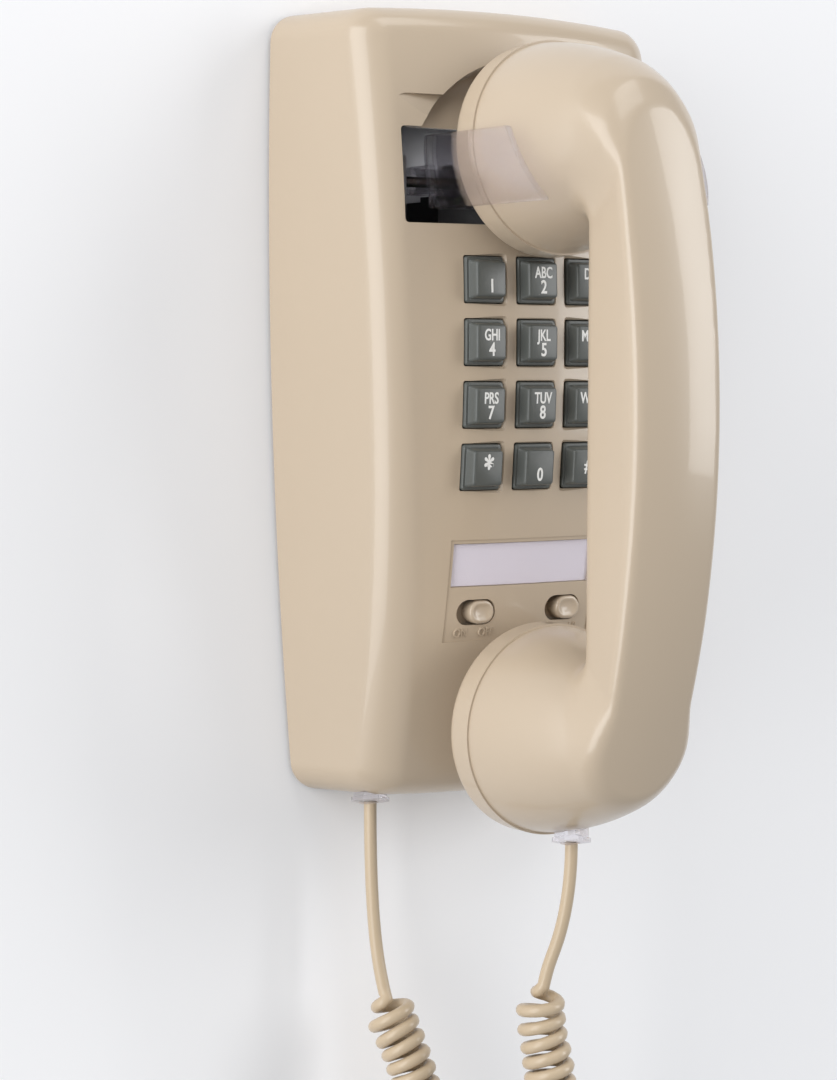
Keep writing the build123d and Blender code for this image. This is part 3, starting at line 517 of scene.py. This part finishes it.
def crown_slab(name, width, height, middle_z, sink, front=None, material=beige):
    """Block whose floor follows the crowned face below it, and its front too where that is given."""
    columns = 32
    rows = 12
    spots = []
    for row in range(rows + 1):
        for column in range(columns + 1):
            x = (column / columns - 0.5) * width
            z = middle_z + (row / rows - 0.5) * height
            spots.append((x, z))
    points = [(x, face_y(x, z) + sink, z) for x, z in spots]
    for x, z in spots:
        y = -BODY_DEPTH - 0.01 if front is None else face_y(x, z) + front
        points.append((x, y, z))
    layer = (rows + 1) * (columns + 1)
    faces = []
    for row in range(rows):
        for column in range(columns):
            a = row * (columns + 1) + column
            b = a + columns + 1
            faces.append((a, b, b + 1, a + 1))
            faces.append((layer + a, layer + a + 1, layer + b + 1, layer + b))
    rim = list(range(columns))
    rim += [row * (columns + 1) + columns for row in range(rows)]
    rim += [rows * (columns + 1) + columns - column for column in range(columns)]
    rim += [(rows - row) * (columns + 1) for row in range(rows)]
    for i, a in enumerate(rim):
        b = rim[(i + 1) % len(rim)]
        faces.append((a, b, layer + b, layer + a))
    return add_mesh(name, points, faces, [material])


def scoop_cutter():
    """Wedge above the hook whose floor leans back up to a ledge."""
    foot_y = face_y(0, SCOOP_FOOT_Z)
    ledge_y = foot_y + (SCOOP_LEDGE_Z - SCOOP_FOOT_Z) * tan(SCOOP_LEAN)
    front_y = -BODY_DEPTH - 0.012
    low_z = SCOOP_FOOT_Z - (foot_y - front_y) / tan(SCOOP_LEAN)
    bend = []
    corner = 0.006
    for step in range(9):
        turn = step / 8 * pi / 2
        bend.append((-SCOOP_WIDTH / 2 + corner * (1 - sin(turn)), -corner * (1 - cos(turn))))
    outline = bend[::-1] + [(-x, drop) for x, drop in bend]
    sections = []
    for x, drop in outline:
        z = SCOOP_LEDGE_Z + drop
        y = foot_y + (z - SCOOP_FOOT_Z) * tan(SCOOP_LEAN)
        sections.append([(x, y, z), (x, front_y, z), (x, front_y, low_z)])
    return add_mesh("scoop", *loft(sections), [beige])


def dish_cutter():
    """Round block whose flat floor leans back behind the receiver."""
    out = Vector((0, -cos(DISH_LEAN), sin(DISH_LEAN)))
    up = Vector((0, sin(DISH_LEAN), cos(DISH_LEAN)))
    middle = Vector((0, face_y(0, DISH_FOOT_Z), DISH_FOOT_Z)) + up * DISH_RISE
    rings = []
    for height in (0.0, 0.04):
        turns = [2 * pi * i / 160 for i in range(160)]
        ring = [Vector((DISH_RADIUS * cos(t), 0, 0)) + up * DISH_RADIUS * sin(t) for t in turns]
        rings.append([middle + out * height + point for point in ring])
    return add_mesh("dish", *loft(rings), [beige])


def gland_cutter(name, exit_at, low_z, high_z):
    """Square hole for the plug at one end of the cord."""
    ring = rounded_rectangle(GLAND_WIDTH, GLAND_DEPTH, 0.0006, 3)
    rings = [[(x + exit_at[0], y + exit_at[1], z) for x, y in ring] for z in (low_z, high_z)]
    return add_mesh(name, *loft(rings), [beige])


def key_hole_cutters():
    """Square holes through the face, each with a small chamfer, in the keypad's grid."""
    cutters = []
    for row in (1.5, 0.5, -0.5, -1.5):
        for column in (-1, 0, 1):
            place = face_frame(column * KEY_PITCH, KEYPAD_Z + row * KEY_PITCH)
            ring = rounded_rectangle(KEY_HOLE, KEY_HOLE, 0.0006, 3)
            wide = rounded_rectangle(KEY_HOLE + 0.0022, KEY_HOLE + 0.0022, 0.0014, 3)
            levels = [(ring, -0.006), (ring, -0.0004), (wide, 0.0007), (wide, 0.004)]
            rings = [placed(place, shape, height) for shape, height in levels]
            cutters.append(add_mesh("key_hole", *loft(rings), [beige]))
    return cutters


def build_cover():
    """The bowed housing, hollow, with all that is cut into its face; its inside is painted black as painted
    shade, so the hook opening looks dark.
    """
    outer = housing_shape(0, FACE_EDGE, 0.003, False)
    inner = housing_shape(WALL, INNER_FACE_EDGE, 0.006, True)
    low = (-0.066, -0.053, -0.121)
    cover = add_mesh("cover_look", *surface_net(outer, low, (0.066, 0.007, 0.121), 0.0012), [beige, black])
    painted_shade_core = add_mesh("painted_shade_core", *surface_net(inner, low, (0.066, 0.011, 0.121), 0.0018), [beige, black])
    # The inner skin's faces become the cover's inside and get the black slot: painted shade, not the beige
    # plastic's own colour, so the inside seen through the hook opening looks dark.
    painted_shade_core.data.polygons.foreach_set("material_index", [1] * len(painted_shade_core.data.polygons))
    block = [(-0.08, -0.13), (0.08, -0.13), (0.08, 0.13), (-0.08, 0.13)]
    cutters = [painted_shade_core, prism("rear", block, 0.0, 0.02), scoop_cutter(), dish_cutter()]
    cutters += key_hole_cutters()
    opening_z = (OPENING_LOW + OPENING_HIGH) / 2
    opening = rounded_rectangle(OPENING_WIDTH, OPENING_HIGH - OPENING_LOW, 0.0012)
    opening = [(x, z + opening_z) for x, z in opening]
    cutters.append(prism("opening", opening, -0.055, -0.029))
    panel_height = PANEL_TOP - PANEL_BOTTOM
    panel_z = (PANEL_TOP + PANEL_BOTTOM) / 2
    cutters.append(crown_slab("panel", PANEL_WIDTH, panel_height, panel_z, PANEL_SINK))
    cutters.append(crown_slab("label", LABEL_WIDTH, LABEL_HEIGHT, LABEL_Z, LABEL_SINK))
    for side in (-1, 1):
        slot = rounded_rectangle(SLOT_LENGTH, SLOT_HEIGHT, SLOT_HEIGHT / 2 - 0.00001, 10)
        slot = [(x + side * SWITCH_X, z + SWITCH_Z) for x, z in slot]
        cutters.append(prism("slot", slot, -0.055, -0.035))
    cutters.append(gland_cutter("gland", BASE_EXIT, -0.125, -0.108))
    cut(cover, cutters)
    bosses = [cover]
    for x, z in BOSSES:
        turns = [pi * i / 16 for i in range(32)]
        ring = [(x + BOSS_RADIUS * cos(t), z + BOSS_RADIUS * sin(t)) for t in turns]
        bosses.append(prism("boss", ring, BOSS_FRONT, BOSS_REAR))
    join(bosses)
    shade(cover, radians(13))
    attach(cover, "housing")
    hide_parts("front_cover")


# ---- Label card and its window ----
def sheet_piece(node, width, height, near, far, material):
    """Thin sheet that follows the crowned face, between two depths below it."""
    sheet = crown_slab(node + "_look", width, height, LABEL_Z, far, near, material)
    shade(sheet)
    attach(sheet, "housing")
    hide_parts(node)
    return sheet


def build_label():
    width = LABEL_WIDTH - 0.0004
    height = LABEL_HEIGHT - 0.0004
    paper = sheet_piece("label_card", width, height, PANEL_SINK + 0.0010, LABEL_SINK, card)
    window = sheet_piece("label_window", width, height, PANEL_SINK - 0.0001, PANEL_SINK + 0.0009, thin_clear)


# ---- Handset shell ----
def handle_y(z):
    return -HANDLE_FRONT + (z - HANDLE_MID_Z) ** 2 / (2 * HANDLE_BOW)


def cup_radius(depth):
    """Radius of a cup at a depth from its mouth."""
    return CUP_RADIUS - 0.1405 * depth - 5.102 * depth * depth


def cup_distances(x, y, z, seat):
    """Depth into a cup and distance from its wall."""
    seat_y, seat_z, lean = seat
    depth = -(y - seat_y) * cos(lean) + (z - seat_z) * sin(lean)
    across = (y - seat_y) * sin(lean) + (z - seat_z) * cos(lean)
    return depth, np.hypot(x, across) - cup_radius(np.clip(depth, -0.004, CUP_DEPTH + 0.004))


def handset_shape(x, y, z):
    """Signed distance of the handset: a bowed handle with a cup blended in at each end."""
    high = RECEIVER[1] + 0.0025
    low = TRANSMITTER[1]
    beyond = np.maximum(np.maximum(z - high, low - z), 0)
    half = HANDLE_WIDTH / 2 - np.clip(y + 0.108, 0, 0.03) * 0.09
    side = np.hypot(np.abs(x), beyond) - half
    inner = y + HANDLE_INNER
    body = round_meet(side, inner, 0.004)
    for seat in (RECEIVER, TRANSMITTER):
        depth, wall = cup_distances(x, y, z, seat)
        cup = round_meet(wall * 0.93, depth - CUP_DEPTH - 0.002, 0.004)
        body = round_join(body, cup, CUP_BLEND)
    front = handle_y(z) + x * x / 0.16 - y
    top = smooth_step(0.066, 0.088, z)
    edge = HANDLE_EDGE + 0.0085 * top + 0.0020 * smooth_step(-0.08, -0.11, z)
    body = round_meet(body, front, edge)
    upper = -cup_distances(x, y, z, RECEIVER)[0]
    lower = -cup_distances(x, y, z, TRANSMITTER)[0]
    return np.maximum(body, np.where(z > 0, upper, lower) - 0.003)


def build_handset():
    low = (-0.036, -0.119, -0.129)
    high = (0.036, -0.048, 0.111)
    shell = add_mesh("handset_look", *surface_net(handset_shape, low, high, 0.0012), [beige])
    cutters = []
    for name, seat in (("receiver_room", RECEIVER), ("transmitter_room", TRANSMITTER)):
        seat_y, seat_z, lean = seat
        place = Matrix.Translation((0, seat_y, seat_z)) @ Matrix.Rotation(pi / 2 - lean, 4, "X")
        rings = []
        for depth in (-0.004, 0.0, 0.007, 0.014, 0.021, 0.027):
            radius = cup_radius(max(depth, 0)) - SHELL_WALL
            angles = [2 * pi * i / 64 for i in range(64)]
            rings.append([place @ Vector((radius * cos(a), radius * sin(a), depth)) for a in angles])
        cutters.append(add_mesh(name, *loft(rings), [beige]))
        mouth = rounded_rectangle(0.08, 0.08, 0.001, 1)
        rings = [[place @ Vector((x, y, depth)) for x, y in mouth] for depth in (-0.02, 0.0)]
        cutters.append(add_mesh(name + "_mouth", *loft(rings), [beige]))
    cutters.append(gland_cutter("handset_gland", HANDSET_EXIT, -0.130, -0.115))
    cut(shell, cutters)
    shade(shell)
    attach(shell, "handset")
    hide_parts("handset_shell")


# ---- Cord ----
def cord_spot(along, z):
    """A place in the upright plane through both of the cord's ends."""
    span = (HANDSET_EXIT[0] - BASE_EXIT[0], HANDSET_EXIT[1] - BASE_EXIT[1])
    length = (span[0] ** 2 + span[1] ** 2) ** 0.5
    share = along / length
    return (BASE_EXIT[0] + share * span[0], BASE_EXIT[1] + share * span[1], z)


CORD_SPAN = ((HANDSET_EXIT[0] - BASE_EXIT[0]) ** 2 + (HANDSET_EXIT[1] - BASE_EXIT[1]) ** 2) ** 0.5
CORD_ROUTE = [
    cord_spot(0, BASE_EXIT[2]),
    cord_spot(0, -0.147),
    cord_spot(0.0045, -0.178),
    cord_spot(0.014, -0.197),
    cord_spot(0.019, -0.225),
    cord_spot(0.019, -0.2563),
    cord_spot(0.0287, -0.268),
    cord_spot(0.0453, -0.268),
    cord_spot(0.057, -0.2563),
    cord_spot(0.0585, -0.225),
    cord_spot(0.0575, -0.197),
    cord_spot(0.052, -0.173),
    cord_spot(CORD_SPAN, -0.145),
    cord_spot(CORD_SPAN, HANDSET_EXIT[2]),
]


def route_line(name, points):
    """Points along the smooth line that has the route's points as its control points."""
    curve = bpy.data.curves.new(name, "CURVE")
    curve.dimensions = "3D"
    curve.resolution_u = 24
    spline = curve.splines.new("NURBS")
    spline.points.add(len(points) - 1)
    for spot, point in zip(spline.points, points):
        spot.co = (*point, 1)
    spline.order_u = 3
    spline.use_endpoint_u = True
    holder = bpy.data.objects.new(name, curve)
    scene.collection.objects.link(holder)
    mesh = bpy.data.meshes.new_from_object(holder)
    line = np.array([vertex.co for vertex in mesh.vertices])
    bpy.data.objects.remove(holder)
    bpy.data.meshes.remove(mesh)
    return line


def even_line(line, step):
    """The same line with points an even step apart, and how far along it each one is."""
    lengths = np.concatenate([[0], np.cumsum(np.linalg.norm(np.diff(line, axis=0), axis=1))])
    places = np.linspace(0, lengths[-1], int(lengths[-1] / step) + 1)
    return np.stack([np.interp(places, lengths, line[:, i]) for i in range(3)], -1), places


def carried_frames(line):
    """Two directions square to a line at each of its points, carried along without twist."""
    ahead = np.gradient(line, axis=0)
    ahead /= np.linalg.norm(ahead, axis=1)[:, None]
    side = np.cross(ahead[0], (0.0, 1.0, 0.2))
    sides = []
    for direction in ahead:
        side = side - direction * side.dot(direction)
        side = side / np.linalg.norm(side)
        sides.append(side)
    sides = np.array(sides)
    return ahead, sides, np.cross(ahead, sides)


def curly_path():
    """Centreline of the cord: straight tails with a helix between them."""
    line, places = even_line(route_line("cord_route", CORD_ROUTE), 0.0003)
    ahead, sides, ups = carried_frames(line)
    total = places[-1]
    start = BASE_TAIL
    end = total - HANDSET_TAIL
    bend = np.linalg.norm(np.gradient(ahead, places, axis=0), axis=1)
    pitch = CURL_PITCH + BEND_SPREAD * smooth_step(15, 45, bend)
    pitch = pitch + END_SPREAD * (1 - smooth_step(start, start + 0.012, places))
    pitch = pitch + END_SPREAD * smooth_step(end - 0.012, end, places)
    turning = np.where((places > start) & (places < end), 2 * pi / pitch, 0)
    angle = np.concatenate([[0], np.cumsum(turning[1:] * np.diff(places))])
    reach = (CURL_DIAMETER - CORD_DIAMETER) / 2
    grow = smooth_step(start, start + 0.006, places) * (1 - smooth_step(end - 0.006, end, places))
    radius = reach * grow * (1 + 0.035 * np.sin(angle / 5.3))
    swing = radius[:, None] * (np.cos(angle)[:, None] * sides + np.sin(angle)[:, None] * ups)
    centre = line + swing
    lengths = np.concatenate([[0], np.cumsum(np.linalg.norm(np.diff(centre, axis=0), axis=1))])
    marks = np.linspace(0, lengths[-1], int(lengths[-1] / 0.0020))
    return np.stack([np.interp(marks, lengths, centre[:, i]) for i in range(3)], -1)


def build_cord():
    path = curly_path()
    ahead, sides, ups = carried_frames(path)
    angles = [2 * pi * i / 12 for i in range(12)]
    rings = []
    for centre, side, up in zip(path, sides, ups):
        rings.append([centre + CORD_DIAMETER / 2 * (cos(a) * side + sin(a) * up) for a in angles])
    cord = add_mesh("curly_cord", *loft(rings), [cord_beige])
    shade(cord, radians(60))
    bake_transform(cord)
    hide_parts("cord_tail_base", "cord_coil", "cord_tail_handset")


# ---- Keys ----
def text_mesh(name, words, size, squeeze, material, depth=0.00012, bold=0.02):
    """Flat raised letters centred on their own origin."""
    curve = bpy.data.curves.new(name, "FONT")
    curve.body = words
    curve.size = size
    curve.align_x = "CENTER"
    curve.align_y = "CENTER"
    curve.extrude = depth
    curve.offset = bold * size
    curve.resolution_u = 4
    holder = bpy.data.objects.new(name, curve)
    scene.collection.objects.link(holder)
    bpy.context.view_layer.update()
    evaluated = holder.evaluated_get(bpy.context.evaluated_depsgraph_get())
    mesh = bpy.data.meshes.new_from_object(evaluated)
    bpy.data.objects.remove(holder)
    mesh.transform(Matrix.Diagonal((squeeze, 1, 1, 1)))
    mesh.materials.clear()
    mesh.materials.append(material)
    piece = bpy.data.objects.new(name, mesh)
    scene.collection.objects.link(piece)
    return piece


def join(pieces):
    """One object out of several, keeping the first one's name."""
    with bpy.context.temp_override(
        active_object=pieces[0],
        object=pieces[0],
        selected_objects=pieces,
        selected_editable_objects=pieces,
    ):
        bpy.ops.object.join()
    return pieces[0]


KEYS = [
    ("key_1", "", "1"),
    ("key_2", "ABC", "2"),
    ("key_3", "DEF", "3"),
    ("key_4", "GHI", "4"),
    ("key_5", "JKL", "5"),
    ("key_6", "MNO", "6"),
    ("key_7", "PRS", "7"),
    ("key_8", "TUV", "8"),
    ("key_9", "WXY", "9"),
    ("key_star", "", "*"),
    ("key_0", "", "0"),
    ("key_hash", "", "#"),
]


def build_key(index, node, letters, digit):
    x = (index % 3 - 1) * KEY_PITCH
    z = KEYPAD_Z + (1.5 - index // 3) * KEY_PITCH
    place = face_frame(x, z)
    top_place = face_frame(x, z, KEY_TOP)
    levels = [
        (KEY_SKIRT, 0.0008, -0.0035),
        (KEY_SKIRT, 0.0008, 0.0000),
        (KEY_SKIRT - 0.0004, 0.0008, 0.0003),
        (KEY_SKIRT - 0.0012, 0.0008, 0.0004),
        (KEY_CAP + 0.0006, 0.0008, 0.0004),
        (KEY_CAP + 0.0004, 0.0009, 0.0006),
        (KEY_CAP - 0.0004, 0.0010, KEY_TOP - 0.0012),
        (KEY_CAP - 0.0008, 0.0010, KEY_TOP - 0.0004),
        (KEY_CAP - 0.0013, 0.0009, KEY_TOP - 0.0001),
        (KEY_CAP - 0.0019, 0.0008, KEY_TOP),
    ]
    rings = [placed(place, rounded_rectangle(w, w, r), height) for w, r, height in levels]
    key = add_mesh(node + "_look", *loft(rings), [key_grey])
    shade(key, radians(38))
    pieces = [key]
    if letters:
        upper = text_mesh("letters", letters, 0.0046, 0.70, ink)
        upper.data.transform(top_place @ Matrix.Translation((0, 0.0020, 0)))
        pieces.append(upper)
    lift = 0.0 if digit in "*#" else -0.0022
    size = 0.0095 if digit == "*" else 0.0054
    lower = text_mesh("digit", digit, size, 0.80, ink)
    lower.data.transform(top_place @ Matrix.Translation((0, lift, 0)))
    pieces.append(lower)
    join(pieces)
    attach(key, node)
    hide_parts(node)


# ---- Slide switches and their lettering ----
def build_sliders():
    for side, name in ((-1, "ringer_slider"), (1, "volume_slider")):
        x = side * SWITCH_X + KNOB_SHIFT
        front = face_y(side * SWITCH_X, SWITCH_Z) + PANEL_SINK - 0.0005
        levels = [
            (0.0, 0.0048),
            (0.0, 0.0008),
            (0.0002, 0.0003),
            (0.0006, 0.0),
            (0.0011, 0.0),
            (0.0016, 0.0003),
            (0.0024, 0.0005),
        ]
        rings = []
        for shrink, depth in levels:
            height = SLOT_HEIGHT - 0.0006 - 2 * shrink
            ring = rounded_rectangle(KNOB_LENGTH - 2 * shrink, height, height / 2 - 0.00001, 9)
            rings.append([(x + u, front + depth, SWITCH_Z + v) for u, v in ring])
        knob = add_mesh(name + "_look", *loft(rings), [beige])
        plate = rounded_rectangle(PLATE_LENGTH, PLATE_HEIGHT, 0.0008, 3)
        plate = [(x + u, SWITCH_Z + v) for u, v in plate]
        rings = [[(u, front + depth, v) for u, v in plate] for depth in (0.0062, 0.0048)]
        back = add_mesh("plate", *loft(rings), [beige])
        join([knob, back])
        shade(knob, radians(40))
        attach(knob, name)
        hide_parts(name)


def build_lettering():
    spots = [("ON", -0.0205), ("OFF", -0.0118), ("LO", 0.0112), ("HI", 0.0205)]
    pieces = []
    for words, x in spots:
        raised = text_mesh("lettering", words, 0.0036, 0.85, beige, 0.0003, 0.01)
        raised.data.transform(face_frame(x, LETTERING_Z, -PANEL_SINK))
        pieces.append(raised)
    lettering = join(pieces)
    lettering.name = "switch_lettering"
    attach(lettering, "housing")


# ---- Hook ----
def hook_shape(x, y, z):
    """Signed distance of the clear hook: two curved prongs, a web, two arms and the pin's barrel."""
    radial = np.hypot(x, z - HOOK_Z)
    outer = PRONG_INNER + PRONG_THICKNESS
    ring = np.maximum(radial - outer, PRONG_INNER - radial)
    low = HOOK_Z + outer * sin(PRONG_LOW_TURN)
    high = HOOK_Z + PRONG_INNER * sin(PRONG_HIGH_TURN)
    level = np.maximum(z - high, low - z)
    tip = PRONG_TIP_Y + PRONG_TIP_LEAN * (z - low) / (high - low)
    reach = np.maximum(tip - y, y - PRONG_REAR_Y)
    prongs = round_meet(round_meet(ring, level, 0.0007), reach, 0.0007)
    middle = (low + high) / 2
    across = np.abs(x) - PRONG_INNER - 0.0005
    web = np.maximum(across, np.abs(y - WEB_Y) - WEB_THICKNESS / 2)
    web = round_meet(web, np.abs(z - middle) - (high - low) / 2, 0.0006)
    body = round_join(prongs, web, 0.001)
    beside = np.abs(np.abs(x) - PRONG_INNER + 0.001) - PRONG_THICKNESS / 2
    arm = np.maximum(beside, np.abs(z - PIVOT_Z) - BARREL_RADIUS)
    arm = np.maximum(arm, np.abs(y - ARM_Y) - ARM_REACH)
    body = np.minimum(body, arm)
    pivot = np.hypot(y - PIVOT_Y, z - PIVOT_Z)
    barrel = np.maximum(pivot - BARREL_RADIUS, across)
    body = np.minimum(body, barrel)
    return np.maximum(body, PIN_ROOM - pivot)


def build_hook():
    low = (-0.036, -0.092, 0.055)
    hook = add_mesh("hook_look", *surface_net(hook_shape, low, (0.036, -0.018, 0.081), 0.0006), [clear])
    shade(hook, radians(40))
    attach(hook, "hook")
    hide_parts("hook")


# ---- Wall and light ----
def build_stage():
    wall, tree, shader, place = new_material("studio_wall")
    grain = add_noise(tree, place, 3, 2)
    ramp = add_colours(tree, grain.outputs["Fac"], (0.90, 0.90, 0.915), (0.93, 0.93, 0.94))
    tree.links.new(ramp.outputs["Color"], shader.inputs["Base Color"])
    shader.inputs["Roughness"].default_value = 0.9
    signs = ((-1, -1), (1, -1), (1, 1), (-1, 1))
    corners = [(x * BACKDROP_HALF, BACKDROP_Y, z * BACKDROP_HALF) for x, z in signs]
    add_mesh("studio_backdrop", corners, [(0, 1, 2, 3)], [wall])
    world = bpy.data.worlds.new("studio_world")
    world.use_nodes = True
    world.node_tree.nodes["Background"].inputs["Color"].default_value = (0.95, 0.97, 1.0, 1)
    world.node_tree.nodes["Background"].inputs["Strength"].default_value = 0.45
    scene.world = world
    scene.view_settings.view_transform = "Standard"
    lights = [
        ("left_box", (-1.5, -0.55, 0.25), (0, -0.03, 0.0), 1.0, 2.2, 26),
        ("right_box", (1.15, -1.0, 0.35), (0, -0.08, 0.0), 0.5, 1.1, 10),
        ("top_box", (0.2, -0.8, 1.5), (0, -0.05, 0.0), 1.0, 0.8, 6),
    ]
    for name, place, aim, width, height, power in lights:
        data = bpy.data.lights.new(name, "AREA")
        data.shape = "RECTANGLE"
        data.size = width
        data.size_y = height
        data.energy = power
        light = bpy.data.objects.new(name, data)
        scene.collection.objects.link(light)
        light.location = place
        light.rotation_euler = (Vector(aim) - Vector(place)).to_track_quat("-Z", "Y").to_euler()


add_camera()
build_cord()
build_cover()
build_handset()
for index, (node, letters, digit) in enumerate(KEYS):
    build_key(index, node, letters, digit)
build_sliders()
build_lettering()
build_hook()
build_label()
build_stage()
